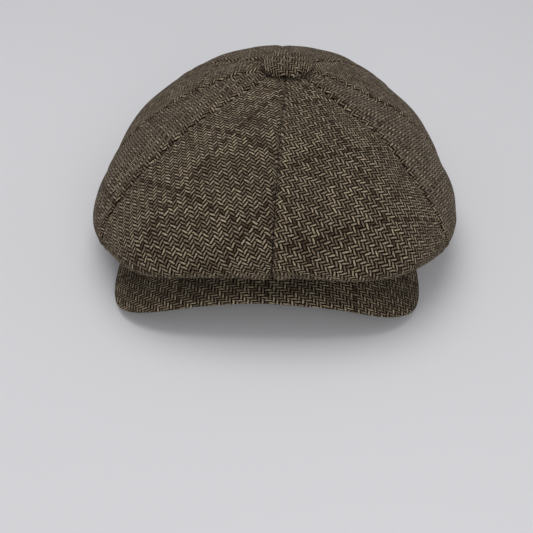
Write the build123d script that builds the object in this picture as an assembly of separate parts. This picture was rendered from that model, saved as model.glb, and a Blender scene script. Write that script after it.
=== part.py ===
from build123d import *

import os
from math import cos, pi, radians, sin, sqrt

# Eight-panel newsboy cap: crown gores, lining gores, headband, peak and covered button.
# The cap stands on a table on the two drooping corners of its peak and the back of its headband.
# Millimetres, +Z up, front of the cap towards -Y, origin under the middle of its outline.

# Driving dimensions --------------------------------------------------------------------------

GORES = 8                     # panels in the crown, and in the lining
SEAM_STEP = 2 * pi / GORES
SECTIONS = 4                  # spans lofted across one gore

HEAD_HALF_WIDTH = 80.7        # inside the sweatband, for a head of about 565 mm round
HEAD_HALF_LENGTH = 98.2
SWEATBAND_THICK = 1.3
INTERLINING_THICK = 1.0
BAND_THICK = 1.8
BAND_HEIGHT = 32.0
BAND_TILT = radians(9.6)      # the peak lifts the front of the headband off the table

TWEED_THICK = 2.0
LINING_THICK = 0.7
APEX_HOLE = 4.0               # where the gores' points leave room for the button's shank
APEX_Y = 8.0                  # the gores meet a little behind the middle of the head
CROWN_TOP = 103.0
CROWN_FRONT = 160.5           # widest line of the crown, measured from the apex
CROWN_BACK = 146.0
CROWN_SIDE = 123.0
FRONT_PLAN_POWER = 2.8        # 2 would be an ellipse as seen from above, more is squarer
BACK_PLAN_POWER = 2.1
DOME_POWER = 1.72             # the same for its rise: 2 would be an ellipse, 1 a cone
PUFF = 2.5                    # how far a gore's middle stands out past its seams
ROLL_IN = 19.0                # how far the crown rolls in under its widest line
SKIRT_OVERLAP = 9.0           # height of the crown's cloth sewn against the headband
SEAM_GAP = 0.5                # air between sewn layers
LINING_TOP = 93.0
LINING_POWER = 2.4

PEAK_FRONT = -156.0
PEAK_HALF_WIDTH = 98.5
PEAK_CORNER_Y = -90.0
PEAK_EDGE_Z = 24.5            # underside of the peak's front edge, at the middle
PEAK_SLOPE = radians(7.5)     # the peak falls towards its front edge
PEAK_DROP = 29.5              # its sides droop this far below its middle
UNDER_THICK = 1.1
BOARD_THICK = 1.6
WADDING_THICK = 0.8
TOP_THICK = 1.3
EDGE_TURN = 1.6               # the top cloth turned down over the board's edge
EDGE_ROUND = 2.2
UNDER_ROUND = 0.5
ROOT_CLEARANCE = 0.8          # between the peak's root and the headband, so the peak can flex

BUTTON_RADIUS = 18.0
BUTTON_HEIGHT = 9.0
BUTTON_CLOTH = 1.4
BUTTON_SHELL = 0.7
BUTTON_LIFT = 0.5             # the button's underside stands this far off the crown
PLATE_THICK = 1.0             # the pressed plate that closes the button's back
SHANK_RADIUS = 2.4            # the wire loop on the plate
SHANK_WIRE = 0.6
SHANK_RISE = 0.3              # the loop's middle above the button's underside
THREAD_RADIUS = 1.1           # sewing thread from the loop down through the gores' points
THREAD_LENGTH = 5.0
THREAD_MIDDLE = -5.2          # heights below the button's underside
KNOT_RADIUS = 1.8
KNOT_MIDDLE = -8.0

PATCH_RADIUS = 15.0           # round of lining cloth under the gores' points
PATCH_THICK = 0.8
PATCH_DROP = 2.6              # its middle below the crown's inner face
PATCH_HOLE = 1.3

LABEL_THICK = 0.5             # blank tab on the sweatband, at the back
LABEL_LOW = 8.0
LABEL_HIGH = 22.0
LABEL_WIDTH = 24.0

# Heights and radii that follow from them -----------------------------------------------------

band_half_width = HEAD_HALF_WIDTH + SWEATBAND_THICK + INTERLINING_THICK + BAND_THICK
band_half_length = HEAD_HALF_LENGTH + SWEATBAND_THICK + INTERLINING_THICK + BAND_THICK
band_middle_z = band_half_length * sin(BAND_TILT)
band_plane = Plane(
    origin=(0, 0, band_middle_z), x_dir=(1, 0, 0), z_dir=(0, sin(BAND_TILT), cos(BAND_TILT))
)


def ring_height(front, side, back):
    """A height that changes smoothly round the cap, from angle 0 at the front to pi at the back."""
    lean = (front - back) / 2
    oval = ((front + back) / 2 - side) / 2
    return lambda a: side + oval + lean * cos(a) + oval * cos(2 * a)


rim_height = ring_height(front=46.5, side=15.0, back=26.5)    # widest line of the crown
roll_height = ring_height(front=35.8, side=5.5, back=12.5)    # lowest line of its roll


def rim_radius(a):
    """Distance from the apex to the crown's widest line, as seen from above."""
    long, power = (CROWN_FRONT, FRONT_PLAN_POWER) if cos(a) > 0 else (CROWN_BACK, BACK_PLAN_POWER)
    return (abs(sin(a) / CROWN_SIDE) ** power + abs(cos(a) / long) ** power) ** (-1 / power)


def from_apex(a, r, z):
    """The point at angle a and radius r from the vertical line through the apex."""
    return Vector(r * sin(a), APEX_Y - r * cos(a), z)


def band_wall(a, grow, height):
    """Radius and height, at angle a from the apex, of a band wall grown outwards by grow."""
    half_x, half_y = HEAD_HALF_WIDTH + grow, HEAD_HALF_LENGTH + grow
    start_y = (APEX_Y - height * sin(BAND_TILT)) / cos(BAND_TILT)
    step_x, step_y = sin(a), -cos(a) / cos(BAND_TILT)
    square = (step_x / half_x) ** 2 + (step_y / half_y) ** 2
    half = start_y * step_y / half_y**2
    rest = (start_y / half_y) ** 2 - 1
    r = (-half + sqrt(half**2 - square * rest)) / square
    y_in_plane = start_y + r * step_y
    return r, band_middle_z - y_in_plane * sin(BAND_TILT) + height * cos(BAND_TILT)


def meridian_face(a, outline, thick):
    """A closed strip of cloth in the upright plane at angle a, level where it starts at the apex.

    outline is its outer line, and its last two points give the way it ends.
    """
    points = [from_apex(a, r, z) for r, z in outline]
    level = from_apex(a, 1, 0) - from_apex(a, 0, 0)
    outer = Spline(*points, tangents=[level, (points[-1] - points[-2]).normalized()])
    sideways = Vector(-cos(a), -sin(a), 0)
    steps = 2 * len(outline)
    inner_points = []
    for i in range(steps + 1):
        along = outer % (i / steps)
        inner_points.append((outer @ (i / steps)) + along.cross(sideways).normalized() * thick)
    inner = Spline(*inner_points)
    return make_face([outer, Line(outer @ 1, inner @ 1), inner, Line(inner @ 0, outer @ 0)])


def gore(number, outline_at, thick):
    """One panel between two neighbouring seams, lofted through upright strips."""
    sections = []
    for i in range(SECTIONS + 1):
        a = (number + i / SECTIONS) * SEAM_STEP
        sections.append(meridian_face(a, outline_at(a), thick))
    return loft(sections)


# Crown and lining ----------------------------------------------------------------------------


def crown_outline(a):
    """The crown's outer line, from the apex over the dome, round the roll and up to the band."""
    swell = PUFF * sin(a * GORES / 2) ** 2
    rim, rim_z = rim_radius(a) + swell, rim_height(a)
    low, low_z = rim - ROLL_IN, roll_height(a)
    skirt = band_half_width - HEAD_HALF_WIDTH + TWEED_THICK + SEAM_GAP
    foot, foot_z = band_wall(a, skirt, BAND_HEIGHT - SKIRT_OVERLAP)
    top, top_z = band_wall(a, skirt, BAND_HEIGHT - 1)
    points = [(APEX_HOLE, CROWN_TOP)]
    for degrees_down in (6, 14, 28, 42, 56, 70, 81, 90):
        turn = radians(degrees_down)
        across = sin(turn) ** (2 / DOME_POWER)
        up = cos(turn) ** (2 / DOME_POWER)
        points.append((rim * across, rim_z + (CROWN_TOP - rim_z) * up + 0.4 * swell * across * up))
    for degrees_under in (32, 62, 90):
        turn = radians(degrees_under)
        points.append((rim - ROLL_IN * (1 - cos(turn)), rim_z - (rim_z - low_z) * sin(turn)))
    points.append((low + (foot - low) * 0.55, low_z + (foot_z - low_z) * 0.22))
    points.append((foot + 1.5, foot_z - 2.5))
    points.append(((foot + top) / 2, (foot_z + top_z) / 2))
    points.append((top, top_z))
    return points


def lining_outline(a):
    """The lining's outer line: a plain dome that ends on the sweatband's top edge."""
    foot, foot_z = band_wall(a, SWEATBAND_THICK - 0.4, BAND_HEIGHT - 1)
    points = [(APEX_HOLE, LINING_TOP)]
    for degrees_down in (8, 22, 40, 60, 78, 90):
        turn = radians(degrees_down)
        across = sin(turn) ** (2 / LINING_POWER)
        up = cos(turn) ** (2 / LINING_POWER)
        points.append((foot * across, foot_z + (LINING_TOP - foot_z) * up))
    return points


# Headband ------------------------------------------------------------------------------------


def band_ring(grow, thick, low, high):
    """An oval hoop: its inner wall stands grow outside the head opening."""
    hoops = []
    for extra in (grow + thick, grow):
        oval = band_plane.offset(low) * Ellipse(HEAD_HALF_WIDTH + extra, HEAD_HALF_LENGTH + extra)
        hoops.append(extrude(oval, amount=high - low))
    return hoops[0] - hoops[1]


def headband():
    grow_interlining = SWEATBAND_THICK
    grow_band = SWEATBAND_THICK + INTERLINING_THICK
    at_back = Pos(0, HEAD_HALF_LENGTH, band_middle_z) * Box(LABEL_WIDTH, BAND_HEIGHT, 2 * BAND_HEIGHT)
    label = band_ring(-LABEL_THICK, LABEL_THICK, LABEL_LOW, LABEL_HIGH) & at_back
    return {
        "outer_band": band_ring(grow_band, BAND_THICK, 0, BAND_HEIGHT),
        "band_interlining": band_ring(grow_interlining, INTERLINING_THICK, 1, BAND_HEIGHT - 2),
        "sweatband": band_ring(0, SWEATBAND_THICK, 0.5, BAND_HEIGHT - 1.5),
        "size_label": label,
    }


# Peak ----------------------------------------------------------------------------------------

arch_radius = PEAK_HALF_WIDTH**2 / (2 * PEAK_DROP) + PEAK_DROP / 2
peak_up = Vector(0, -sin(PEAK_SLOPE), cos(PEAK_SLOPE))
arch_middle = Vector(0, PEAK_FRONT, PEAK_EDGE_Z) - peak_up * arch_radius
arch_plane = Plane(
    origin=arch_middle, x_dir=(1, 0, 0), z_dir=(0, cos(PEAK_SLOPE), sin(PEAK_SLOPE))
)

# Right half of the peak's outline in plan, from its tip beside the band to the middle of its edge.
PEAK_OUTLINE = [
    (73, -48), (85, -59), (95, -74), (98.5, -93), (97, -118), (89, -137), (70.5, -149.5), (39, -154.8)
]


def peak_block(inset):
    """An upright block of the peak's outline, drawn in by inset except along its root."""
    half = []
    for x, y in PEAK_OUTLINE:
        share = min(1, max(0, (PEAK_CORNER_Y - y) / (PEAK_CORNER_Y - PEAK_FRONT)))
        half.append((x - inset * x / PEAK_HALF_WIDTH, y + inset * share))
    mirrored = [(-x, y) for x, y in reversed(half)]
    edge = Spline(*half, (0, PEAK_FRONT + inset), *mirrored)
    face = make_face([edge, Line(edge @ 1, edge @ 0)])
    return Pos(0, 0, -20) * extrude(face, amount=80)


def peak_layer(low, high, inset):
    """A layer of the arched peak, from low to high above its underside."""
    arch = arch_plane * Cylinder(arch_radius + high, 500)
    arch -= arch_plane * Cylinder(arch_radius + low, 500)
    grow = band_half_width - HEAD_HALF_WIDTH + ROOT_CLEARANCE
    oval = band_plane.offset(-60) * Ellipse(HEAD_HALF_WIDTH + grow, HEAD_HALF_LENGTH + grow)
    return (arch & peak_block(inset)) - extrude(oval, amount=160)


def round_front(layer, radius, upper):
    """Rounds the upper or lower corner of a layer's outer edge."""
    front_edges = layer.edges().group_by(Axis.Y)[0].sort_by(Axis.Z)
    return fillet(front_edges[-1 if upper else 0], radius)


def peak():
    board_top = UNDER_THICK + BOARD_THICK
    wadding_top = board_top + WADDING_THICK
    whole = wadding_top + TOP_THICK
    core = peak_layer(UNDER_THICK - 0.5, wadding_top, EDGE_TURN)
    return {
        "peak_under_cover": round_front(peak_layer(0, UNDER_THICK, 0), UNDER_ROUND, upper=False),
        "peak_board": peak_layer(UNDER_THICK, board_top, EDGE_TURN),
        "peak_wadding": peak_layer(board_top, wadding_top, EDGE_TURN),
        "peak_top_cover": round_front(peak_layer(UNDER_THICK, whole, 0), EDGE_ROUND, upper=True) - core,
    }


# Covered button ------------------------------------------------------------------------------


def button_dome(shrink, foot):
    """A solid of the button's outer shape, drawn in by shrink, cut off at height foot."""
    edge = BUTTON_RADIUS - shrink
    top = BUTTON_HEIGHT - shrink
    side_z = 0.32 * BUTTON_HEIGHT
    crown = ThreePointArc((0, top), (0.62 * edge, side_z + 0.83 * (top - side_z)), (edge, side_z))
    under = ThreePointArc((edge, side_z), (edge - 0.9, foot + 0.3 * (side_z - foot)), (edge - 3, foot))
    face = make_face([crown, under, Line((edge - 3, foot), (0, foot)), Line((0, foot), (0, top))])
    return revolve(Plane.XZ * face, Axis.Z, 360)


def button():
    """The cloth, the pressed shell, the back plate with its shank, and the thread through it."""
    at = Pos(0, APEX_Y, CROWN_TOP + BUTTON_LIFT)
    plate_radius = BUTTON_RADIUS - BUTTON_CLOTH - BUTTON_SHELL - 3.4
    cloth = button_dome(0, 0) - button_dome(BUTTON_CLOTH, BUTTON_CLOTH)
    cloth -= Cylinder(plate_radius, 4)
    shell = button_dome(BUTTON_CLOTH, BUTTON_CLOTH)
    shell -= button_dome(BUTTON_CLOTH + BUTTON_SHELL, BUTTON_CLOTH - 0.1)
    plate = Pos(0, 0, PLATE_THICK / 2) * Cylinder(plate_radius - 0.1, PLATE_THICK)
    loop = Pos(0, 0, SHANK_RISE) * Rot(0, 90, 0) * Torus(SHANK_RADIUS, SHANK_WIRE)
    below_plate = Pos(0, 0, -2.5) * Box(10, 10, 6)
    thread = Pos(0, 0, THREAD_MIDDLE) * Cylinder(THREAD_RADIUS, THREAD_LENGTH)
    knot = Pos(0, 0, KNOT_MIDDLE) * Sphere(KNOT_RADIUS)
    return {
        "button_cover": at * cloth,
        "button_shell": at * shell,
        "button_back": at * (plate + (loop & below_plate)),
        "button_thread": at * (thread + knot - loop),
    }


def apex_patch():
    """A round of cloth under the gores' points, which takes the pull of the button's thread."""
    at = Pos(0, APEX_Y, CROWN_TOP - TWEED_THICK - PATCH_DROP)
    return at * (Cylinder(PATCH_RADIUS, PATCH_THICK) - Cylinder(PATCH_HOLE, 2 * PATCH_THICK))


# All pieces ----------------------------------------------------------------------------------

PLACES = ["front", "side_front", "side_back", "back"]


def gore_name(number):
    """Gores 0 to 3 are on +X from front to back, and 4 to 7 come forward again on -X."""
    side = "left" if number < GORES // 2 else "right"
    place = PLACES[min(number, GORES - 1 - number)]
    return f"{place}_{side}"


pieces = {}
for number in range(GORES):
    pieces["crown_gore_" + gore_name(number)] = gore(number, crown_outline, TWEED_THICK)
    pieces["lining_gore_" + gore_name(number)] = gore(number, lining_outline, LINING_THICK)
pieces.update(headband())
pieces.update(peak())
pieces.update(button())
pieces["apex_patch"] = apex_patch()

os.makedirs("parts", exist_ok=True)
for name, shape in pieces.items():
    export_step(shape, f"parts/{name}.step")
print(len(pieces), "pieces; headband outside", 2 * band_half_width, "by", 2 * band_half_length, "mm")
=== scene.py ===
import math

import bpy
import numpy as np
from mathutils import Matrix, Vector, noise


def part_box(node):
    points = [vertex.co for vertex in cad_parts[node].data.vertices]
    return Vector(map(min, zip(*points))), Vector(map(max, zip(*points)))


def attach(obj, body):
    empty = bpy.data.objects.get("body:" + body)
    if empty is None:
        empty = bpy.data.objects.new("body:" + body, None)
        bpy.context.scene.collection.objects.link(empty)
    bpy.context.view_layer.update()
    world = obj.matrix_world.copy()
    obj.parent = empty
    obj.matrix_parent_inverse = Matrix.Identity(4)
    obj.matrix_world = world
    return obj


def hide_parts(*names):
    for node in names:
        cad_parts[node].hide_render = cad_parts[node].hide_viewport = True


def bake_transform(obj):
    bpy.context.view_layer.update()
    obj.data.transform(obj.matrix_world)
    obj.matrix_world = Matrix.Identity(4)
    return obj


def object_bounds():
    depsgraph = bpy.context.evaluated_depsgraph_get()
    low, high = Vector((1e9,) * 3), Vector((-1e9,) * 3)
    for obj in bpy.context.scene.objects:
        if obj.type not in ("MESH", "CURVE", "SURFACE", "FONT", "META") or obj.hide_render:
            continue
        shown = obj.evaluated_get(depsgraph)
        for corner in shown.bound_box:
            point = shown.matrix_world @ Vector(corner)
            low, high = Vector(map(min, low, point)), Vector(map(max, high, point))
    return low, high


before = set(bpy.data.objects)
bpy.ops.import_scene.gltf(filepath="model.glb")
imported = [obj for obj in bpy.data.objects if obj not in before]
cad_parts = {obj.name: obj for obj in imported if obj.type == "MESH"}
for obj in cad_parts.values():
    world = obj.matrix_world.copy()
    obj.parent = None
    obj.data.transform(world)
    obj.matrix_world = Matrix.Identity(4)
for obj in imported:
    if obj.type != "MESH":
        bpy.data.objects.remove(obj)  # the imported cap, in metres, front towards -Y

cadLow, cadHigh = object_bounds()
print("stage: frame loaded")


# small tools that every piece uses

def linearColor(hexColor):
    parts = [int(hexColor[i:i + 2], 16) / 255 for i in (0, 2, 4)]
    return [p / 12.92 if p <= 0.04045 else ((p + 0.055) / 1.055) ** 2.4 for p in parts] + [1.0]


def addNode(tree, kind, settings=None, inputs=None):
    node = tree.nodes.new(kind)
    for name, value in (settings or {}).items():
        setattr(node, name, value)
    for name, value in (inputs or {}).items():
        if isinstance(value, bpy.types.NodeSocket):
            tree.links.new(value, node.inputs[name])
        else:
            node.inputs[name].default_value = value
    return node


def newMaterial(name, **surface):
    material = bpy.data.materials.new(name)
    material.use_nodes = True
    material.node_tree.nodes.clear()
    tree = material.node_tree
    shader = addNode(tree, "ShaderNodeBsdfPrincipled", None, surface)
    addNode(tree, "ShaderNodeOutputMaterial", None, {"Surface": shader.outputs[0]})
    return material, tree, shader


def twoTone(tree, shader, factor, low, high):
    color = addNode(tree, "ShaderNodeMix", {"data_type": "RGBA"},
                    {"Factor": factor, 6: linearColor(low), 7: linearColor(high)})
    tree.links.new(color.outputs[2], shader.inputs["Base Color"])


def bumpUp(tree, shader, height, strength, distance):
    bump = addNode(tree, "ShaderNodeBump", None,
                   {"Strength": strength, "Distance": distance, "Height": height})
    tree.links.new(bump.outputs[0], shader.inputs["Normal"])


def deselectAll():
    if bpy.context.mode != "OBJECT":
        bpy.ops.object.mode_set(mode="OBJECT")
    bpy.ops.object.select_all(action="DESELECT")


def pickOnly(piece):
    deselectAll()
    piece.select_set(True)
    bpy.context.view_layer.objects.active = piece


def applyModifiers(piece):
    pickOnly(piece)
    for modifier in list(piece.modifiers):
        bpy.ops.object.modifier_apply(modifier=modifier.name)


def thicken(piece, thickness, offset=-1.0):
    solid = piece.modifiers.new("thickness", "SOLIDIFY")
    solid.thickness, solid.offset, solid.use_even_offset = thickness, offset, False
    smooth = piece.modifiers.new("smoothing", "SUBSURF")
    smooth.levels = smooth.render_levels = 1
    smooth.uv_smooth = "PRESERVE_BOUNDARIES"
    applyModifiers(piece)
    bpy.ops.object.shade_smooth()


def gridPiece(name, points, cloth, material, closed=False):
    # points[row][column] in metres, cloth[row][column] the place on the flat cut, in metres
    rows, columns = points.shape[:2]
    mesh = bpy.data.meshes.new(name)
    faces = []
    for r in range(rows - 1):
        for c in range(columns if closed else columns - 1):
            d = (c + 1) % columns
            faces.append((r * columns + c, (r + 1) * columns + c, (r + 1) * columns + d, r * columns + d))
    mesh.from_pydata([tuple(p) for p in points.reshape(-1, 3)], [], faces)
    layer = mesh.uv_layers.new(name="cloth")
    rowLength = 0.0 if not closed else cloth[0, -1, 0] + cloth[0, 1, 0] - cloth[0, 0, 0]
    for polygon in mesh.polygons:
        for loop in polygon.loop_indices:
            r, c = divmod(mesh.loops[loop].vertex_index, columns)
            u, v = cloth[r, c]
            if closed and c == 0 and polygon.vertices[0] % columns == columns - 1:
                u += rowLength
            layer.data[loop].uv = (u, v)
    piece = bpy.data.objects.new(name, mesh)
    bpy.context.scene.collection.objects.link(piece)
    mesh.materials.append(material)
    return piece


def faceOutwards(piece, merge=False):
    # turn every face outwards, and first merge doubled points where asked
    pickOnly(piece)
    bpy.ops.object.mode_set(mode="EDIT")
    bpy.ops.mesh.select_all(action="SELECT")
    if merge:
        bpy.ops.mesh.remove_doubles(threshold=1e-6)
    bpy.ops.mesh.normals_make_consistent(inside=False)
    bpy.ops.object.mode_set(mode="OBJECT")


def surfaceNormals(points):
    normal = np.cross(np.gradient(points, axis=0), np.gradient(points, axis=1))
    length = np.linalg.norm(normal, axis=2, keepdims=True)
    return normal / np.maximum(length, 1e-12)


def flatPlaces(points):
    # arc lengths across each row from its middle, and down the middle column
    middle = points.shape[1] // 2
    across = np.linalg.norm(np.diff(points, axis=1), axis=2)
    u = np.concatenate([np.zeros((len(points), 1)), np.cumsum(across, axis=1)], axis=1)
    u -= u[:, middle:middle + 1]
    down = np.linalg.norm(np.diff(points[:, middle], axis=0), axis=1)
    v = np.concatenate([[0.0], np.cumsum(down)])[:, None] * np.ones((1, points.shape[1]))
    return np.stack([u, v], axis=2)


def goreCut(points, hole):
    # a gore laid flat: each row is an arc that bends as the gore widens
    middle = points.shape[1] // 2
    across = np.linalg.norm(np.diff(points, axis=1), axis=2)
    w = np.concatenate([np.zeros((len(points), 1)), np.cumsum(across, axis=1)], axis=1)
    width = w[:, -1]
    w = w - w[:, middle:middle + 1]
    down = np.linalg.norm(np.diff(points, axis=0), axis=2)
    rho = hole + np.concatenate([np.zeros((1, points.shape[1])), np.cumsum(down, axis=0)], axis=0)
    bend = np.gradient(np.log(width), rho[:, middle])
    bend = np.clip(bend, -12.0, 1 / rho[:, middle])[:, None]
    bend = np.where(np.abs(bend) < 0.1, 0.1, bend)
    return np.stack([np.sin(bend * w) / bend, rho - (1 - np.cos(bend * w)) / bend], axis=2)


def turned(places, degrees, shift=(0.0, 0.0)):
    c, s = math.cos(math.radians(degrees)), math.sin(math.radians(degrees))
    u, v = places[..., 0], places[..., 1]
    return np.stack([c * u + s * v + shift[0], -s * u + c * v + shift[1]], axis=-1)


def roughness(points, wave, height, seed):
    # smooth bumps of about that wavelength and height, the same at the same place
    shift = Vector((seed * 3.7, seed * 1.3, seed * 2.1))
    flat = points.reshape(-1, 3) / wave
    values = [noise.noise(Vector(p) + shift) for p in flat]
    return np.array(values).reshape(points.shape[:2]) * height * 2


# cloth and other materials

tweedLook = {
    "strand": 0.00215,      # one float of yarn is this wide and twice as long
    # the ground between the floats: dark yarn, painted near black to stand for the shade between the floats
    # as well
    "dark": "0e0804",
    "heather": "6b5d4b",
    "beige": "897a65",
    "cream": "ad9e84",
    "check": "4e402f",      # the overcheck yarn
    "checkStrands": 25,     # an overcheck line every 54 mm
}


def tweedCloth():
    # wool tweed, woven in short floats that interlock in zigzags, then milled: matt and hairy. The shade
    # between the floats, on their rounded edges and along their twist is painted into the colour.
    look = tweedLook
    material, tree, shader = newMaterial("milled wool tweed", **{
        "Roughness": 0.95, "Specular IOR Level": 0.08, "Sheen Weight": 0.12, "Sheen Roughness": 0.45,
        "Sheen Tint": linearColor("cfc0b0")})
    place = addNode(tree, "ShaderNodeUVMap", {"uv_map": "cloth"}).outputs[0]
    strands = addNode(tree, "ShaderNodeVectorMath", {"operation": "SCALE"},
                      {0: place, "Scale": 1 / look["strand"]}).outputs[0]
    wander = addNode(tree, "ShaderNodeTexNoise", None, {"Vector": strands, "Scale": 0.55, "Detail": 2.0})
    centred = addNode(tree, "ShaderNodeVectorMath", {"operation": "SUBTRACT"},
                      {0: wander.outputs["Color"], 1: (0.5, 0.5, 0.5)})
    loose = addNode(tree, "ShaderNodeVectorMath", {"operation": "MULTIPLY_ADD"},
                    {0: centred.outputs[0], 1: (0.7, 0.7, 0.0), 2: strands})
    frayed = addNode(tree, "ShaderNodeTexNoise", None, {"Vector": strands, "Scale": 2.6, "Detail": 5.0,
                                                       "Roughness": 0.75})
    frayedCentred = addNode(tree, "ShaderNodeVectorMath", {"operation": "SUBTRACT"},
                            {0: frayed.outputs["Color"], 1: (0.5, 0.5, 0.5)})
    warped = addNode(tree, "ShaderNodeVectorMath", {"operation": "MULTIPLY_ADD"},
                     {0: frayedCentred.outputs[0], 1: (0.5, 0.5, 0.0), 2: loose.outputs[0]})
    split = addNode(tree, "ShaderNodeSeparateXYZ", None, {0: warped.outputs[0]})
    value = {"u": split.outputs[0], "v": split.outputs[1]}
    steps = [
        ("cellX", "FLOOR", "u"), ("cellY", "FLOOR", "v"), ("inX", "FRACT", "u"), ("inY", "FRACT", "v"),
        ("sum", "SUBTRACT", "cellX", "cellY"), ("step", "FLOORED_MODULO", "sum", 4.0),
        ("upright", "GREATER_THAN", "step", 1.5), ("second", "FLOORED_MODULO", "step", 2.0),
        ("upwards", "SUBTRACT", 1.0, "inY"), ("toUpright", "SUBTRACT", "upwards", "inX"),
        ("alongIn", "MULTIPLY_ADD", "toUpright", "upright", "inX"), ("along", "ADD", "alongIn", "second"),
        ("toFlat", "SUBTRACT", "inX", "inY"),
        ("across", "MULTIPLY_ADD", "toFlat", "upright", "inY"),
        ("shiftY", "MULTIPLY", "second", "upright"), ("strandY", "ADD", "cellY", "shiftY"),
        ("shiftX", "SUBTRACT", "second", "shiftY"), ("strandX", "SUBTRACT", "cellX", "shiftX"),
        ("offMiddle", "SUBTRACT", "across", 0.5), ("offSquare", "MULTIPLY", "offMiddle", "offMiddle"),
        ("roundAcross", "MULTIPLY_ADD", "offSquare", -13.0, 1.0),
        ("acrossUp", "MAXIMUM", "roundAcross", 0.0),
        ("offEnd", "SUBTRACT", "along", 1.0), ("offEndSize", "ABSOLUTE", "offEnd"),
        ("endPower", "POWER", "offEndSize", 4.0), ("roundAlong", "MULTIPLY_ADD", "endPower", -0.95, 1.0),
        ("alongUp", "MAXIMUM", "roundAlong", 0.0), ("both", "MULTIPLY", "acrossUp", "alongUp"),
        ("height", "SQRT", "both"),
        ("turnX", "FLOORED_MODULO", "cellX", float(look["checkStrands"])),
        ("turnY", "FLOORED_MODULO", "cellY", float(look["checkStrands"])),
        ("checkX", "LESS_THAN", "turnX", 0.9), ("checkY", "LESS_THAN", "turnY", 0.9),
        ("toWarp", "SUBTRACT", "checkX", "checkY"),
        ("onCheck", "MULTIPLY_ADD", "toWarp", "upright", "checkY"),
        ("twist", "MULTIPLY_ADD", "along", 2.2, "across"), ("twistIn", "MULTIPLY", "twist", 6.2832),
        ("twistWave", "SINE", "twistIn"),
    ]
    for label, operation, *arguments in steps:
        inputs = {i: value[a] if isinstance(a, str) else a for i, a in enumerate(arguments)}
        value[label] = addNode(tree, "ShaderNodeMath", {"operation": operation}, inputs).outputs[0]
    which = addNode(tree, "ShaderNodeCombineXYZ", None,
                    {0: value["strandX"], 1: value["strandY"], 2: value["upright"]})
    pick = addNode(tree, "ShaderNodeTexWhiteNoise", {"noise_dimensions": "3D"},
                   {"Vector": which.outputs[0]})
    yarn = addNode(tree, "ShaderNodeValToRGB", None, {"Fac": pick.outputs["Value"]})
    ramp = yarn.color_ramp
    ramp.elements[0].position, ramp.elements[0].color = 0.0, linearColor(look["heather"])
    ramp.elements[1].position, ramp.elements[1].color = 1.0, linearColor(look["cream"])
    ramp.elements.new(0.45).color = linearColor(look["beige"])
    checked = addNode(tree, "ShaderNodeMix", {"data_type": "RGBA"},
                      {"Factor": value["onCheck"], 6: yarn.outputs[0], 7: linearColor(look["check"])})
    # each float's footprint, graded by its height: painted shade darkens the float towards its rounded
    # edges
    floatAndEdgeShade = addNode(tree, "ShaderNodeMapRange", {"interpolation_type": "SMOOTHSTEP"},
                   {"Value": value["height"], "From Min": 0.05, "From Max": 0.98})
    hairs = addNode(tree, "ShaderNodeTexNoise", None, {"Vector": strands, "Scale": 2.8, "Detail": 6.0,
                                                      "Roughness": 0.85, "Distortion": 0.6})
    # painted shade along the yarn's twist, mixed into the fibre noise
    twistShade = addNode(tree, "ShaderNodeMath", {"operation": "MULTIPLY_ADD"},
                         {0: value["twistWave"], 1: 0.05, 2: hairs.outputs[0]})
    hairsAndTwistShade = addNode(tree, "ShaderNodeMapRange", None,
                       {"Value": twistShade.outputs[0], "From Min": 0.33, "From Max": 0.66,
                        "To Min": 0.08, "To Max": 1.5})
    cover = addNode(tree, "ShaderNodeMath", {"operation": "MULTIPLY", "use_clamp": True},
                    {0: floatAndEdgeShade.outputs[0], 1: hairsAndTwistShade.outputs[0]})
    weave = addNode(tree, "ShaderNodeMix", {"data_type": "RGBA"},
                    {"Factor": cover.outputs[0], 6: linearColor(look["dark"]), 7: checked.outputs[2]})
    patches = addNode(tree, "ShaderNodeTexNoise", None, {"Vector": strands, "Scale": 0.06, "Detail": 3.0})
    shade = addNode(tree, "ShaderNodeMapRange", None,
                    {"Value": patches.outputs[0], "From Min": 0.3, "From Max": 0.7,
                     "To Min": 0.82, "To Max": 1.15})
    shaded = addNode(tree, "ShaderNodeVectorMath", {"operation": "SCALE"},
                     {0: weave.outputs[2], "Scale": shade.outputs[0]})
    tree.links.new(shaded.outputs[0], shader.inputs["Base Color"])
    relief = addNode(tree, "ShaderNodeMath", {"operation": "MULTIPLY_ADD"},
                     {0: value["twistWave"], 1: 0.06, 2: value["height"]})
    fuzz = addNode(tree, "ShaderNodeMath", {"operation": "MULTIPLY_ADD"},
                   {0: hairs.outputs[0], 1: 0.5, 2: relief.outputs[0]})
    bumpUp(tree, shader, fuzz.outputs[0], 0.8, 0.0005)
    return material


def liningSatin():
    # viscose satin lining: long smooth floats give a soft shine along the folds
    material, tree, shader = newMaterial("viscose satin lining", **{
        "Roughness": 0.42, "Specular IOR Level": 0.5, "Sheen Weight": 0.2, "Anisotropic": 0.35})
    place = addNode(tree, "ShaderNodeUVMap", {"uv_map": "cloth"}).outputs[0]
    threads = addNode(tree, "ShaderNodeMapping", None, {"Vector": place, "Scale": (2600.0, 500.0, 1.0)})
    grain = addNode(tree, "ShaderNodeTexNoise", None,
                    {"Vector": threads.outputs[0], "Scale": 1.0, "Detail": 2.0})
    twoTone(tree, shader, grain.outputs[0], "2a211c", "4b3c33")
    bumpUp(tree, shader, grain.outputs[0], 0.35, 0.0001)
    return material


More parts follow.
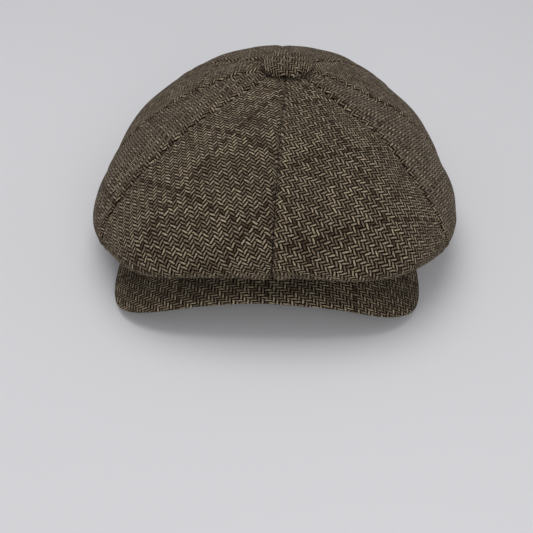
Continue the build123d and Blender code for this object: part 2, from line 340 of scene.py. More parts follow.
def grosgrain():
    # grosgrain ribbon: a fine warp over thick weft, so cross ribs 2.2 mm apart
    material, tree, shader = newMaterial("grosgrain ribbon", **{
        "Roughness": 0.7, "Specular IOR Level": 0.35, "Sheen Weight": 0.25})
    place = addNode(tree, "ShaderNodeUVMap", {"uv_map": "cloth"}).outputs[0]
    ribs = addNode(tree, "ShaderNodeTexWave", {"wave_type": "BANDS", "bands_direction": "X"},
                   {"Vector": place, "Scale": 145.0, "Distortion": 0.3})
    warp = addNode(tree, "ShaderNodeTexNoise", None, {"Vector": place, "Scale": 1600.0, "Detail": 2.0})
    tone = addNode(tree, "ShaderNodeMath", {"operation": "MULTIPLY"},
                   {0: ribs.outputs["Fac"], 1: warp.outputs[0]})
    twoTone(tree, shader, tone.outputs[0], "1b1714", "4a4038")
    bumpUp(tree, shader, ribs.outputs["Fac"], 0.9, 0.0003)
    return material


def plainCloth(name, low, high, threadsPerMetre, roughness=0.9):
    # a plain weave: equal warp and weft, seen as fine checks
    material, tree, shader = newMaterial(name, **{
        "Roughness": roughness, "Specular IOR Level": 0.3, "Sheen Weight": 0.3})
    place = addNode(tree, "ShaderNodeTexCoord").outputs["Object"]
    checks = addNode(tree, "ShaderNodeTexChecker", None, {"Vector": place, "Scale": threadsPerMetre})
    spots = addNode(tree, "ShaderNodeTexNoise", None, {"Vector": place, "Scale": 700.0, "Detail": 3.0})
    tone = addNode(tree, "ShaderNodeMath", {"operation": "MULTIPLY_ADD"},
                   {0: checks.outputs["Fac"], 1: 0.35, 2: spots.outputs[0]})
    twoTone(tree, shader, tone.outputs[0], low, high)
    bumpUp(tree, shader, tone.outputs[0], 0.5, 0.0002)
    return material


def pressedAluminium():
    # deep-drawn sheet: faint drawing marks and a soft shine
    material, tree, shader = newMaterial("pressed aluminium", Metallic=1.0)
    place = addNode(tree, "ShaderNodeTexCoord").outputs["Object"]
    marks = addNode(tree, "ShaderNodeTexNoise", None, {"Vector": place, "Scale": 1800.0, "Detail": 3.0})
    rough = addNode(tree, "ShaderNodeMapRange", None,
                    {"Value": marks.outputs[0], "To Min": 0.3, "To Max": 0.5})
    twoTone(tree, shader, marks.outputs[0], "a8a9a9", "cfd0d0")
    tree.links.new(rough.outputs[0], shader.inputs["Roughness"])
    return material


def boardPlastic():
    # polyethylene sheet, calendered: waxy, with a faint orange peel
    material, tree, shader = newMaterial("polyethylene sheet", **{"Roughness": 0.5, "IOR": 1.5})
    place = addNode(tree, "ShaderNodeTexCoord").outputs["Object"]
    peel = addNode(tree, "ShaderNodeTexNoise", None, {"Vector": place, "Scale": 900.0, "Detail": 2.0})
    twoTone(tree, shader, peel.outputs[0], "cdcdc8", "dededa")
    bumpUp(tree, shader, peel.outputs[0], 0.3, 0.0001)
    return material


tweed = tweedCloth()
satin = liningSatin()
ribbon = grosgrain()
canvas = plainCloth("linen canvas", "4b4237", "6a5f50", 1100.0)
felt = plainCloth("needled felt", "c9c4b8", "e4e0d6", 500.0, 0.97)
threadCloth = plainCloth("waxed linen thread", "241d16", "3d3228", 2400.0, 0.6)
tabCloth = plainCloth("woven satin tab", "bdb5a2", "dcd5c4", 1600.0, 0.6)
metal = pressedAluminium()
board = boardPlastic()
print("stage: materials made")


# the headband's oval, which leans back

head = {
    "halfWidth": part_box("sweatband")[1].x - 0.0013,
    "halfLength": 0.0982,
    "tilt": math.radians(9.6),
    "sweatband": 0.0013,
    "interlining": 0.0010,
    "band": 0.0018,
    "height": 0.032,
}
head["outer"] = head["sweatband"] + head["interlining"] + head["band"]
head["middleZ"] = (head["halfLength"] + head["outer"]) * math.sin(head["tilt"])


def bandPoint(angle, grow, height):
    # angle round the oval's own middle, 0 at the front, in its leaning plane
    x = (head["halfWidth"] + grow) * np.sin(angle)
    y = -(head["halfLength"] + grow) * np.cos(angle)
    c, s = math.cos(head["tilt"]), math.sin(head["tilt"])
    return np.stack([x, y * c + height * s, head["middleZ"] - y * s + height * c], axis=-1)


def bandWall(a, grow, height):
    # radius from the crown's apex, and height, of the band's wall in direction a
    halfX, halfY = head["halfWidth"] + grow, head["halfLength"] + grow
    c, s = math.cos(head["tilt"]), math.sin(head["tilt"])
    startY = (crown["apexY"] - height * s) / c
    stepX, stepY = np.sin(a), -np.cos(a) / c
    square = (stepX / halfX) ** 2 + (stepY / halfY) ** 2
    half = startY * stepY / halfY ** 2
    r = (-half + np.sqrt(half ** 2 - square * ((startY / halfY) ** 2 - 1))) / square
    return r, head["middleZ"] - (startY + r * stepY) * s + height * c


# crown: eight gores of tweed

crown = {
    "gores": 8,
    "apexY": 0.008,
    "apexX": 0.0105,            # the top has slipped to the wearer's left
    "lean": 0.0040,             # and the whole soft crown leans that way, down to its roll
    "hole": 0.004,
    "gap": 0.0004,              # share of a gore's width that each seam leaves open
    "middle": 0.14,             # a middling radius, for where the hole's edge falls on the dome
    "top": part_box("crown_gore_front_left")[1].z,
    "front": 0.1615, "back": 0.146, "left": 0.1258, "right": 0.1262,
    "frontPower": 2.8, "backPower": 2.1,
    "risePower": 1.72, "flatter": 0.10,   # the left side falls a little straighter
    "rimZ": (0.0465, 0.015, 0.0265),      # front, side, back
    "rollZ": (0.0358, 0.0055, 0.0125),
    "rightSag": 0.0035,         # the right side hangs lower
    "backCrest": 0.007,         # the back panels stand up behind the button
    "rollIn": 0.019,
    "puff": 0.0028,
    "thickness": 0.0017,
    "seamDepth": 0.0013, "seamWidth": 0.0010,
    "frontSeam": 0.8,           # the front seam is pulled in deeper than the others
    "ridge": 0.0007, "ridgeAt": 0.0048, "ridgeWidth": 0.0024,
    "skirtOverlap": 0.009, "skirtGap": 0.0006,
    "slack": (0.055, 0.0016), "fineSlack": (0.024, 0.0005),   # wavelength and height
    "cutShift": (0.0131, 0.0177),   # how far along the cloth each gore was cut from the last
    "grains": (-3.5, 5.0, 2.0, -4.0, 6.0, 0.0, -5.0, 11.0),   # degrees that each gore was cut off the grain
    "columns": 33,
    "rows": {"dome": 52, "roll": 14, "under": 12, "skirt": 4},
    "flat": (0.130, 0.262),     # the flat cut's box, and its area
    "area": 0.0187,
}


def goingRound(a, heights):
    front, side, back = heights
    lean, oval = (front - back) / 2, ((front + back) / 2 - side) / 2
    sag = crown["rightSag"] * np.maximum(0, -np.sin(a))
    return side + oval + lean * np.cos(a) + oval * np.cos(2 * a) - sag


def rimRadius(a):
    forward = np.cos(a) > 0
    power = np.where(forward, crown["frontPower"], crown["backPower"])
    length = np.where(forward, crown["front"], crown["back"])
    side = np.where(np.sin(a) > 0, crown["left"], crown["right"])
    return (np.abs(np.sin(a) / side) ** power + np.abs(np.cos(a) / length) ** power) ** (-1 / power)


def crownRows(a, puff):
    # the outline in direction a, from apex to headband: radius, height, share of the slip at the top
    rim, rimZ, lowZ = rimRadius(a) + puff, goingRound(a, crown["rimZ"]), goingRound(a, crown["rollZ"])
    low = rim - crown["rollIn"]
    skirt = head["outer"] + crown["thickness"] + crown["skirtGap"]
    foot, footZ = bandWall(a, skirt, head["height"] - crown["skirtOverlap"])
    top, topZ = bandWall(a, skirt, head["height"] - 0.001)
    rows, count = [], crown["rows"]
    power = crown["risePower"] - crown["flatter"] * np.maximum(0, np.sin(a))
    first = math.asin((crown["hole"] / crown["middle"]) ** (crown["risePower"] / 2))
    for turn in np.linspace(first, math.pi / 2, count["dome"]):
        across, up = math.sin(turn) ** (2 / power), max(0, math.cos(turn)) ** (2 / power)
        crest = 0.4 * puff + crown["backCrest"] * np.maximum(0, -np.cos(a))
        z = rimZ + (crown["top"] - rimZ) * up + crest * across * up
        rows.append(((rim - puff * (1 - across)) * across, z, 1 - across))
    for turn in np.linspace(0, math.pi / 2, count["roll"] + 1)[1:]:
        inwards = crown["rollIn"] * (1 - math.cos(turn))
        rows.append((rim - inwards, rimZ - (rimZ - lowZ) * math.sin(turn), 0 * rim))
    for t in np.linspace(0, 1, count["under"] + 1)[1:]:
        w = ((1 - t) ** 3, 3 * t * (1 - t) ** 2, 3 * t * t * (1 - t), t ** 3)
        r = w[0] * low + w[1] * (low - 0.5 * (low - foot)) + w[2] * (foot + 0.0015) + w[3] * foot
        z = w[0] * lowZ + w[1] * lowZ + w[2] * (footZ - 0.45 * (footZ - lowZ)) + w[3] * footZ
        rows.append((r, z, 0 * rim))
    for t in np.linspace(0, 1, count["skirt"] + 1)[1:]:
        rows.append((foot + (top - foot) * t, footZ + (topZ - footZ) * t, 0 * rim))
    return [np.stack(part) for part in zip(*rows)]


def crownGore(number):
    share = 0.5 - 0.5 * np.cos(np.linspace(0, math.pi, crown["columns"]))
    share = crown["gap"] + share * (1 - 2 * crown["gap"])
    step = 2 * math.pi / crown["gores"]
    a = (number + share) * step
    puff = crown["puff"] * np.sin(math.pi * share) ** 2
    r, z, slip = crownRows(a, puff)
    count = crown["rows"]
    leaning = np.ones(len(r))
    leaning[count["dome"] + count["roll"]:] = np.linspace(1, 0, count["under"] + count["skirt"])
    leaning = (crown["lean"] * leaning)[:, None] + (crown["apexX"] - crown["lean"]) * slip
    points = np.stack([r * np.sin(a) + leaning, crown["apexY"] - r * np.cos(a), z], axis=2)
    places = goreCut(points, crown["hole"])
    normals = surfaceNormals(points)
    fromSeam = np.minimum(np.abs(places[..., 0] - places[:, :1, 0]),
                          np.abs(places[..., 0] - places[:, -1:, 0]))
    seam = -crown["seamDepth"] * np.exp(-(fromSeam / crown["seamWidth"]) ** 2)
    ridge = crown["ridge"] * np.exp(-((fromSeam - crown["ridgeAt"]) / crown["ridgeWidth"]) ** 2)
    seam = seam * (1 + crown["frontSeam"] * np.exp(-(np.sin(a / 2) / 0.15) ** 2))
    overTop = np.clip(slip[:, :1], 0, 1) ** 0.5
    calm = 1 - 0.9 * overTop * np.exp(-((a - math.pi) / 0.3) ** 2)   # back seam, pressed flat at the top
    outside = np.ones(len(points))
    outside[count["dome"] + count["roll"]:] = np.linspace(1, 0, count["under"] + count["skirt"])
    nearApex = np.clip((places[..., 1] - 0.012) / 0.02, 0, 1)
    slack = roughness(points, *crown["slack"], 3) + roughness(points, *crown["fineSlack"], 11)
    lift = (seam * calm * (0.25 + 0.75 * nearApex) + (ridge * calm + slack) * nearApex) * outside[:, None]
    points = points + normals * lift[..., None]
    shift = (number * crown["cutShift"][0], 0.011 + number * crown["cutShift"][1])
    name = frameGores[number]
    piece = gridPiece("tweed_" + name, points, turned(places, crown["grains"][number], shift), tweed)
    thicken(piece, crown["thickness"])
    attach(piece, "cap")
    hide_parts("crown_" + name)


goreWords = ["front", "side_front", "side_back", "back"]
frameGores = []
for number in range(crown["gores"]):
    side = "left" if number < 4 else "right"
    frameGores.append(f"gore_{goreWords[min(number, 7 - number)]}_{side}")
for number in range(crown["gores"]):
    crownGore(number)
print("stage: crown made")


# lining: eight gores of satin

lining = {
    "hole": 0.0025,
    "gap": 0.0004,
    "middle": 0.09,
    "top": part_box("lining_gore_front_left")[1].z,
    "power": 2.4,
    "thickness": 0.0005,
    "billow": (0.03, 0.0016),
    "seamDepth": 0.0009, "pleatDepth": 0.0006,
    "columns": 21,
    "rows": 44,
    "flat": (0.075, 0.125),
    "area": 0.0050,
}


def liningGore(number):
    share = lining["gap"] + np.linspace(0, 1, lining["columns"]) * (1 - 2 * lining["gap"])
    a = (number + share) * 2 * math.pi / crown["gores"]
    foot, footZ = bandWall(a, head["sweatband"] - 0.0004, head["height"] - 0.001)
    rows = []
    first = math.asin((lining["hole"] / lining["middle"]) ** (lining["power"] / 2))
    for turn in np.linspace(first, math.pi / 2, lining["rows"]):
        across = math.sin(turn) ** (2 / lining["power"])
        up = max(0, math.cos(turn)) ** (2 / lining["power"])
        leaning = crown["apexX"] * (1 - across) + crown["lean"] * across * up
        x = foot * across * np.sin(a) + leaning
        y = crown["apexY"] - foot * across * np.cos(a)
        rows.append(np.stack([x, y, footZ + (lining["top"] - footZ) * up], axis=1))
    points = np.stack(rows)
    places = flatPlaces(points)
    down = np.linspace(0, 1, lining["rows"])[:, None]
    seam = -lining["seamDepth"] * np.exp(-((share - np.round(share)) / 0.02) ** 2)[None, :]
    pleats = lining["pleatDepth"] * np.sin(math.pi * share * 5 + number)[None, :]
    pleats = pleats * down ** 2 * (1 - down) * 4
    slack = roughness(points, *lining["billow"], 7) * np.clip(6 * (1 - down), 0, 1)
    inward = (seam + pleats + slack - 0.0004) * np.clip(8 * (1 - down), 0, 1)
    points = points + surfaceNormals(points) * inward[..., None]
    name = frameGores[number]
    piece = gridPiece("satin_lining_" + name, points, places, satin)
    thicken(piece, lining["thickness"])
    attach(piece, "cap")
    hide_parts("lining_" + name)


for number in range(crown["gores"]):
    liningGore(number)
print("stage: lining made")


# headband, interlining, sweatband and tab

def hoop(name, node, outline, material, columns=180):
    # outline is a closed section as (grow, height) pairs, carried round the oval
    angles = np.linspace(0, 2 * math.pi, columns, endpoint=False)
    ring = outline + outline[:1]
    points = np.stack([bandPoint(angles, grow, height) for grow, height in ring])
    around = np.linalg.norm(np.roll(points[0], -1, axis=0) - points[0], axis=1)
    u = np.concatenate([[0], np.cumsum(around)[:-1]])
    v = np.concatenate([[0], np.cumsum([math.dist(a, b) for a, b in zip(ring, ring[1:])])])
    places = np.stack(np.broadcast_arrays(u[None, :], v[:, None]), axis=2)
    piece = gridPiece(name, points, places, material, closed=True)
    faceOutwards(piece, merge=True)
    bpy.ops.object.shade_smooth_by_angle(angle=math.radians(50))
    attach(piece, "cap")
    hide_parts(node)


def roundedStrip(inner, outer, low, high, radius):
    # a strip's section with rounded edges
    points = []
    for x, y, start in ((outer - radius, low + radius, -90), (outer - radius, high - radius, 0),
                        (inner + radius, high - radius, 90), (inner + radius, low + radius, 180)):
        for turn in (0, 30, 60, 90):
            t = math.radians(start + turn)
            points.append((x + radius * math.cos(t), y + radius * math.sin(t)))
    return points


bandInner, bandTop = head["sweatband"] + head["interlining"], head["height"]
bandStrip = roundedStrip(bandInner, head["outer"], 0.0, bandTop, 0.00085)
canvasStrip = roundedStrip(head["sweatband"], bandInner, 0.002, bandTop - 0.002, 0.0004)
sweatStrip = roundedStrip(0.0, head["sweatband"], 0.0005, bandTop - 0.0015, 0.0006)
hoop("tweed_headband", "outer_band", bandStrip, tweed)
hoop("canvas_interlining", "band_interlining", canvasStrip, canvas)
hoop("ribbon_sweatband", "sweatband", sweatStrip, ribbon)


def stitch(start, end, radius, sides=6, rings=5):
    # one thread float, thick in the middle and sunk at both ends
    along = end - start
    side = along.orthogonal().normalized()
    other = along.cross(side).normalized()
    points, faces = [], []
    for i in range(rings):
        t = i / (rings - 1)
        r = radius * (0.35 + 0.65 * math.sin(math.pi * t) ** 0.5)
        for k in range(sides):
            turn = 2 * math.pi * k / sides
            points.append(start + along * t + side * (r * math.cos(turn)) + other * (r * math.sin(turn)))
    for i in range(rings - 1):
        for k in range(sides):
            n = (k + 1) % sides
            faces.append((i * sides + k, i * sides + n, (i + 1) * sides + n, (i + 1) * sides + k))
    faces.append(tuple(reversed(range(sides))))
    faces.append(tuple(range((rings - 1) * sides, rings * sides)))
    return points, faces


def stitchRow(name, ends, radius, material):
    points, faces = [], []
    for start, end in ends:
        p, f = stitch(Vector(start), Vector(end), radius)
        faces += [tuple(i + len(points) for i in face) for face in f]
        points += p
    mesh = bpy.data.meshes.new(name)
    mesh.from_pydata([tuple(p) for p in points], [], faces)
    mesh.materials.append(material)
    piece = bpy.data.objects.new(name, mesh)
    bpy.context.scene.collection.objects.link(piece)
    faceOutwards(piece)
    bpy.ops.object.shade_smooth()
    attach(piece, "cap")


sewing = {"length": 0.0032, "pitch": 0.0044, "thread": 0.00028, "fromEdge": 0.004, "meanRadius": 0.09}


def bandStitches(name, height):
    count = int(2 * math.pi * sewing["meanRadius"] / sewing["pitch"])
    ends = []
    for i in range(count):
        a = 2 * math.pi * i / count
        half = math.pi / count * sewing["length"] / sewing["pitch"]
        ends.append([bandPoint(np.array(t), -0.00005, height) for t in (a - half, a + half)])
    stitchRow(name, ends, sewing["thread"], threadCloth)


bandStitches("sweatband_lower_stitching", sewing["fromEdge"])
bandStitches("sweatband_upper_stitching", head["height"] - sewing["fromEdge"])


tab = {"low": 0.008, "high": 0.022, "halfTurn": 0.12, "thickness": 0.0004, "bulge": 0.0005, "off": 0.0003}


def sizeTab():
    # a blank folded tab sewn on at the back
    angles = np.linspace(math.pi - tab["halfTurn"], math.pi + tab["halfTurn"], 15)
    heights = np.linspace(tab["low"], tab["high"], 9)
    bulge = tab["bulge"] * np.sin(np.linspace(0, math.pi, 9)) + tab["off"]
    points = np.stack([bandPoint(angles, -b, h) for b, h in zip(bulge, heights)])
    piece = gridPiece("blank_size_tab", points, flatPlaces(points), tabCloth)
    thicken(piece, tab["thickness"], offset=0.0)
    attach(piece, "cap")
    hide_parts("size_label")


sizeTab()
print("stage: headband made")


# peak: top cloth, wadding, board and under cloth on one arch

peakLow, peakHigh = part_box("peak_top_cover")
peak = {
    "halfWidth": peakHigh.x,
    "front": peakLow.y,
    "edgeZ": 0.0245,
    "slope": math.radians(7.5),
    "drop": 0.0295,
    "rootGap": 0.0008,
    "total": 0.0048,
    "cover": 0.0012,
    "under": 0.0011,
    "boardTop": 0.0027,
    "waddingTop": 0.0032,
    "edgeIn": 0.0068,          # how far in the rounding of the edge starts
    "stiffIn": 0.0062,         # the board and the felt stop this far inside the edge
    "edgeLift": -0.0002,       # the cloth is drawn down a little over the board's edge
    "columns": 97,
    "stiffRoot": 0.93,         # the board and the felt start just in front of the headband
    "outline": [(0.073, -0.048), (0.085, -0.059), (0.095, -0.074), (0.0985, -0.093), (0.097, -0.118),
                (0.089, -0.137), (0.0705, -0.1495), (0.039, -0.1548), (0.0, -0.156)],
}
peak["radius"] = peak["halfWidth"] ** 2 / (2 * peak["drop"]) + peak["drop"] / 2


def archZ(x, y):
    # height of the peak's underside
    sag = peak["radius"] - np.sqrt(peak["radius"] ** 2 - x ** 2)
    return peak["edgeZ"] + (y - peak["front"]) * math.tan(peak["slope"]) - sag / math.cos(peak["slope"])


def smoothLine(points, count):
    # an even-stepped smooth curve through the points
    p = np.array(points)
    p = np.concatenate([[2 * p[0] - p[1]], p, [2 * p[-1] - p[-2]]])
    fine = []
    for i in range(1, len(p) - 2):
        for t in np.linspace(0, 1, 24, endpoint=False):
            a, b, c, d = p[i - 1], p[i], p[i + 1], p[i + 2]
            fine.append(0.5 * (2 * b + (c - a) * t + (2 * a - 5 * b + 4 * c - d) * t * t
                               + (3 * b - a - 3 * c + d) * t ** 3))
    fine = np.array(fine + [p[-2]])
    length = np.concatenate([[0], np.cumsum(np.linalg.norm(np.diff(fine, axis=0), axis=1))])
    even = np.linspace(0, length[-1], count)
    return np.stack([np.interp(even, length, fine[:, k]) for k in range(2)], axis=1)


half = peak["outline"]
peakOuter = smoothLine([(-x, y) for x, y in half] + half[-2::-1], peak["columns"])


def peakRoot():
    # where the peak meets the headband's wall, spaced like the outer edge
    grow = head["outer"] + peak["rootGap"]
    turn = np.linspace(-1.6, 1.6, 801)
    found = []
    for t in turn:
        low, high = -0.04, 0.04
        for _ in range(30):
            middle = (low + high) / 2
            x, y, z = bandPoint(np.array(t), grow, middle)
            low, high = (middle, high) if z < archZ(x, y) + peak["total"] / 2 else (low, middle)
        found.append(bandPoint(np.array(t), grow, low)[:2])
    found = np.array(found)
    tip = peak["outline"][0]
    keep = found[np.abs(found[:, 0]) <= abs(tip[0]) + 0.002]
    keep = keep[keep[:, 1] <= tip[1] + 0.001]
    length = np.concatenate([[0], np.cumsum(np.linalg.norm(np.diff(keep, axis=0), axis=1))])
    even = np.linspace(0, length[-1], peak["columns"])
    return np.stack([np.interp(even, length, keep[:, k]) for k in range(2)], axis=1)


peakInner = peakRoot()


def peakPoints(section):
    # section rows, root first: share of the width from the edge, metres from the edge, height
    across = peakInner - peakOuter
    width = np.linalg.norm(across, axis=1, keepdims=True)
    inwards = across / np.maximum(width, 1e-9)
    rows, places = [], []
    for share, inset, height in section:
        plan = peakOuter + inwards * (width * share + np.minimum(inset, 0.85 * width * (1 - share)))
        rows.append(np.column_stack([plan, archZ(plan[:, 0], plan[:, 1]) + height]))
        sideways = peak["radius"] * np.arcsin(plan[:, 0] / peak["radius"])
        places.append(np.column_stack([sideways, -plan[:, 1] + (peak["total"] - height)]))
    return np.stack(rows), np.stack(places)


def peakPiece(name, node, section, material, thickness, offset, seed=0):
    points, places = peakPoints(section)
    if seed:
        normals = surfaceNormals(points)
        points = points + normals * roughness(points, 0.03, 0.0003, seed)[..., None]
    piece = gridPiece(name, points, places, material)
    thicken(piece, thickness, offset=offset)
    faceOutwards(piece)
    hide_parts(node)
    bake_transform(piece)
    return piece


def topSection():
    edge, total, lift = peak["edgeIn"], peak["total"], peak["edgeLift"]
    section = [(share, edge * (1 - share), total + lift * (1 - share) ** 4)
               for share in np.linspace(1, 0, 18)]
    for turn in np.linspace(0, math.pi / 2, 9)[1:]:
        section.append((0, edge * (1 - math.sin(turn)), total / 2 + (total / 2 + lift) * math.cos(turn)))
    for turn in np.linspace(0, math.pi / 2, 7)[1:]:
        section.append((0, edge * 0.65 * (1 - math.cos(turn)),
                        total / 2 - (total / 2 - 0.0002) * math.sin(turn)))
    return section


def flatSection(height, inset, root=1.0):
    return [(share, inset * (1 - share), height) for share in np.linspace(root, 0, 16)]


peakTop = peakPiece("tweed_peak_top", "peak_top_cover", topSection(),
                    tweed, peak["cover"], -1.0, 21)
peakUnder = peakPiece("tweed_peak_underside", "peak_under_cover", flatSection(0.0, peak["edgeIn"] * 0.68),
                      tweed, peak["under"], 1.0, 22)
peakPiece("peak_stiff_board", "peak_board", flatSection(peak["under"], peak["stiffIn"], peak["stiffRoot"]),
          board, peak["boardTop"] - peak["under"], 1.0)
peakFelt = peakPiece("peak_felt_wadding", "peak_wadding",
                     flatSection(peak["boardTop"], peak["stiffIn"], peak["stiffRoot"]),
                     felt, peak["waddingTop"] - peak["boardTop"], 1.0)
print("stage: peak made")


# covered button

buttonLow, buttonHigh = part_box("button_cover")
button = {
    "radius": (buttonHigh.x - buttonLow.x) / 2,
    "height": buttonHigh.z - buttonLow.z,
    "foot": buttonLow.z - 0.0004,
    "cloth": 0.0013,
    "turnIn": 0.0034,          # how far the cloth turns in under the button
    "pleats": 14, "pleatDepth": 0.012,   # small gathers round its lower edge, as a share of the radius
    "shell": 0.0006,
    "plateRadius": 0.0118, "plateThick": 0.0010,
    "wire": 0.0006,
    "shank": 0.0024,
    "thread": 0.0009, "knot": 0.0017,
    "x": crown["apexX"],
    "y": crown["apexY"],
}


def turnedPiece(name, node, profile, material, segments=64):
    # a profile of (radius, height) that starts and ends on the button's own line, turned about it
    mesh = bpy.data.meshes.new(name)
    mesh.from_pydata([(r, 0, z) for r, z in profile], [(i, i + 1) for i in range(len(profile) - 1)], [])
    piece = bpy.data.objects.new(name, mesh)
    bpy.context.scene.collection.objects.link(piece)
    pickOnly(piece)
    bpy.ops.object.modifier_add(type="SCREW")
    screw = piece.modifiers[-1]
    screw.angle, screw.screw_offset = 2 * math.pi, 0
    screw.steps = screw.render_steps = segments
    bpy.ops.object.modifier_apply(modifier=screw.name)
    piece.location = (button["x"], button["y"], button["foot"])
    bpy.ops.object.transform_apply(location=True, rotation=False, scale=False)
    faceOutwards(piece, merge=True)
    mesh = piece.data
    layer = mesh.uv_layers.new(name="cloth")
    for loop in mesh.loops:
        p = mesh.vertices[loop.vertex_index].co
        out = Vector((p.x - button["x"], p.y - button["y"]))
        reach = out.length + (button["foot"] + button["height"] - p.z) * 0.7
        spread = reach / max(out.length, 1e-6)
        layer.data[loop.index].uv = (out.x * spread + 0.02, -out.y * spread + 0.02)
    mesh.materials.clear()
    mesh.materials.append(material)
    bpy.ops.object.shade_smooth_by_angle(angle=math.radians(45))
    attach(piece, "cap")
    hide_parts(node)
    return piece


def domeProfile(shrink, thick):
    # the button's dome, drawn in by shrink, with a wall of thick
    def wall(inset, reverse):
        edge, top = button["radius"] - inset, button["height"] - inset
        side = 0.30 * button["height"]
        line = []
        for turn in np.linspace(0, math.pi / 2, 14):
            across, up = math.sin(turn) ** 0.86, math.cos(turn) ** 0.86
            line.append((edge * across, side + (top - side) * up))
        for turn in np.linspace(0, math.pi / 2, 6)[1:]:
            line.append((edge - button["turnIn"] * (1 - math.cos(turn)),
                         side - (side - inset) * math.sin(turn)))
        return line[::-1] if reverse else line
    return wall(shrink, False) + wall(shrink + thick, True)


cover = turnedPiece("tweed_button_cover", "button_cover", domeProfile(0.0, button["cloth"]),
                    tweed, 96)
for vertex in cover.data.vertices:
    out = Vector((vertex.co.x - button["x"], vertex.co.y - button["y"]))
    turn = math.atan2(out.y, out.x)
    low = 1 - min(1, max(0, (vertex.co.z - button["foot"]) / (0.55 * button["height"])))
    wave = 1 + low * button["pleatDepth"] * math.cos(button["pleats"] * turn)
    lump = 0.0003 * noise.noise(Vector(vertex.co) * 160)
    vertex.co.x = button["x"] + out.x * wave
    vertex.co.y = button["y"] + out.y * wave
    vertex.co.z += lump
turnedPiece("pressed_button_shell", "button_shell", domeProfile(button["cloth"], button["shell"]), metal)
print("stage: button cover made")


def placedPrimitive(name, material):
    piece = bpy.context.active_object
    piece.name = piece.data.name = name
    bpy.ops.object.transform_apply(location=True, rotation=True, scale=True)
    piece.data.materials.clear()
    piece.data.materials.append(material)
    bpy.ops.object.shade_smooth_by_angle(angle=math.radians(40))
    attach(piece, "cap")
    return piece


def buttonBack():
    # a pressed plate with a rolled rim and the wire loop that the thread holds
    deselectAll()
    bpy.ops.mesh.primitive_cylinder_add(vertices=64, radius=button["plateRadius"],
                                        depth=button["plateThick"],
                                        location=(button["x"], button["y"], button["foot"] + 0.0009))
    plate = bpy.context.active_object
    bpy.ops.object.mode_set(mode="EDIT")
    bpy.ops.mesh.select_all(action="SELECT")
    bpy.ops.mesh.bevel(offset=0.0003, segments=3)
    bpy.ops.object.mode_set(mode="OBJECT")
    deselectAll()
    bpy.ops.mesh.primitive_torus_add(major_radius=button["shank"], minor_radius=button["wire"],
                                     major_segments=40, minor_segments=14,
                                     location=(button["x"], button["y"], button["foot"] + 0.0006),
                                     rotation=(0, math.pi / 2, 0))
    loop = bpy.context.active_object
    bpy.ops.object.transform_apply(location=True, rotation=True, scale=True)
    bpy.ops.object.mode_set(mode="EDIT")
    bpy.ops.mesh.select_all(action="SELECT")
    bpy.ops.mesh.bisect(plane_co=(0, 0, button["foot"] + 0.0006), plane_no=(0, 0, 1), use_fill=True,
                        clear_outer=True)
    bpy.ops.object.mode_set(mode="OBJECT")
    plate.select_set(True)
    bpy.context.view_layer.objects.active = plate
    bpy.ops.object.join()
    back = placedPrimitive("button_back_plate", metal)
    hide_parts("button_back")


def buttonThread():
    # the thread from the shank through the apex, and its knot under the patch
    deselectAll()
    top, low = button["foot"] - 0.0014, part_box("button_thread")[0].z + 0.0016
    bpy.ops.mesh.primitive_cylinder_add(vertices=24, radius=button["thread"], depth=top - low,
                                        location=(button["x"], button["y"], (top + low) / 2))
    strand = bpy.context.active_object
    bpy.ops.object.mode_set(mode="EDIT")
    bpy.ops.mesh.select_all(action="SELECT")
    bpy.ops.mesh.subdivide(number_cuts=4)
    bpy.ops.object.mode_set(mode="OBJECT")
    for vertex in strand.data.vertices:
        turn = math.atan2(vertex.co.y, vertex.co.x)
        swell = 1 + 0.22 * math.cos(3 * turn + vertex.co.z * 2600)
        vertex.co.x, vertex.co.y = vertex.co.x * swell, vertex.co.y * swell
    deselectAll()
    bpy.ops.mesh.primitive_uv_sphere_add(segments=28, ring_count=18, radius=button["knot"],
                                         location=(button["x"], button["y"], low))
    knot = bpy.context.active_object
    for vertex in knot.data.vertices:
        vertex.co *= 1 + 0.16 * math.sin(7 * math.atan2(vertex.co.y, vertex.co.x) + vertex.co.z * 2400)
    strand.select_set(True)
    bpy.context.view_layer.objects.active = strand
    bpy.ops.object.join()
    thread = placedPrimitive("button_sewing_thread", threadCloth)
    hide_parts("button_thread")


def apexPatch():
    # a round of lining cloth under the seams' crossing
    low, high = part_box("apex_patch")
    radius = (high.x - low.x) / 2
    rings = np.linspace(0.0013, radius, 12)
    turns = np.linspace(0, 2 * math.pi, 64, endpoint=False)
    rows = []
    for r in rings:
        sink = 0.045 * r * r / radius
        ruffle = 0.0002 * np.cos(9 * turns) * r / radius
        rows.append(np.column_stack([button["x"] + r * np.cos(turns), button["y"] - r * np.sin(turns),
                                     high.z - sink + ruffle]))
    points = np.stack(rows)
    piece = gridPiece("satin_apex_patch", points, points[..., :2], satin, closed=True)
    thicken(piece, 0.0005)
    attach(piece, "cap")
    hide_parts("apex_patch")


buttonBack()
buttonThread()
apexPatch()
print("stage: button made")


# floor, light and camera

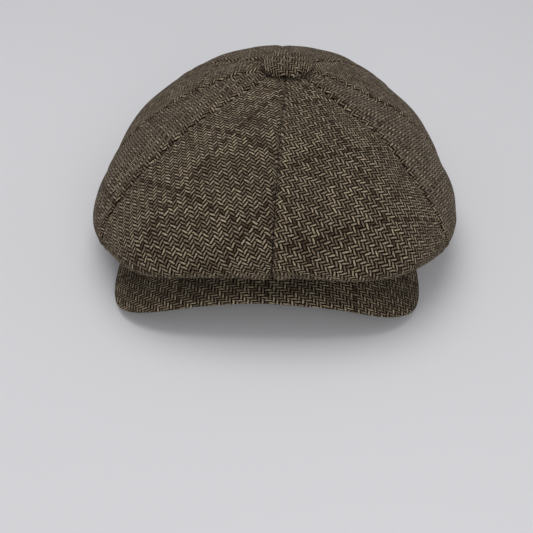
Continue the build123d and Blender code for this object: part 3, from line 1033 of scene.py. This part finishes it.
def paleFloor():
    deselectAll()
    bpy.ops.mesh.primitive_plane_add(size=14, location=(0, 0, cadLow.z - 0.0002))
    floor = bpy.context.active_object
    floor.name = "floor"
    material, tree, shader = newMaterial("pale painted board", **{
        "Roughness": 0.7, "Specular IOR Level": 0.2})
    place = addNode(tree, "ShaderNodeTexCoord").outputs["Object"]
    clouds = addNode(tree, "ShaderNodeTexNoise", None, {"Vector": place, "Scale": 1.2, "Detail": 2.0})
    twoTone(tree, shader, clouds.outputs[0], "cdcdcf", "d6d6d8")
    floor.data.materials.append(material)


def softLight(name, place, aim, size, power):
    data = bpy.data.lights.new(name, "AREA")
    data.shape, data.size, data.energy = "DISK", size, power
    light = bpy.data.objects.new(name, data)
    light.location = place
    light.rotation_euler = (Vector(aim) - Vector(place)).to_track_quat("-Z", "Y").to_euler()
    bpy.context.scene.collection.objects.link(light)


studio = {
    "azimuth": math.radians(1.6), "elevation": math.radians(35.9), "distance": 0.6622,
    "aim": (-0.0029, -0.010, -0.0521),
    "lens": 57.4,
    "air": "d8d8dc", "airStrength": 0.60,
    "lit": (0, -0.02, 0.05),    # what both lights point at
}
paleFloor()
softLight("overheadSoftbox", (-0.15, 0.25, 1.5), studio["lit"], 1.4, 12.0)
softLight("frontFill", (0.3, -1.6, 0.7), studio["lit"], 1.2, 13.0)

world = bpy.data.worlds.new("paleRoom")
world.use_nodes = True
bpy.context.scene.world = world
air = world.node_tree.nodes["Background"]
air.inputs["Color"].default_value = linearColor(studio["air"])
air.inputs["Strength"].default_value = studio["airStrength"]
bpy.context.scene.view_settings.view_transform = "Standard"

cameraData = bpy.data.cameras.new("camera")
cameraData.lens, cameraData.sensor_width = studio["lens"], 36.0
cameraData.clip_start = 0.01
camera = bpy.data.objects.new("camera", cameraData)
bpy.context.scene.collection.objects.link(camera)
aim = Vector(studio["aim"])
away = math.cos(studio["elevation"])
back = Vector((math.sin(studio["azimuth"]) * away, -math.cos(studio["azimuth"]) * away,
               math.sin(studio["elevation"])))
camera.location = aim + back * studio["distance"]
camera.rotation_euler = (-back).to_track_quat("-Z", "Y").to_euler()
bpy.context.scene.camera = camera
print("stage: studio made")
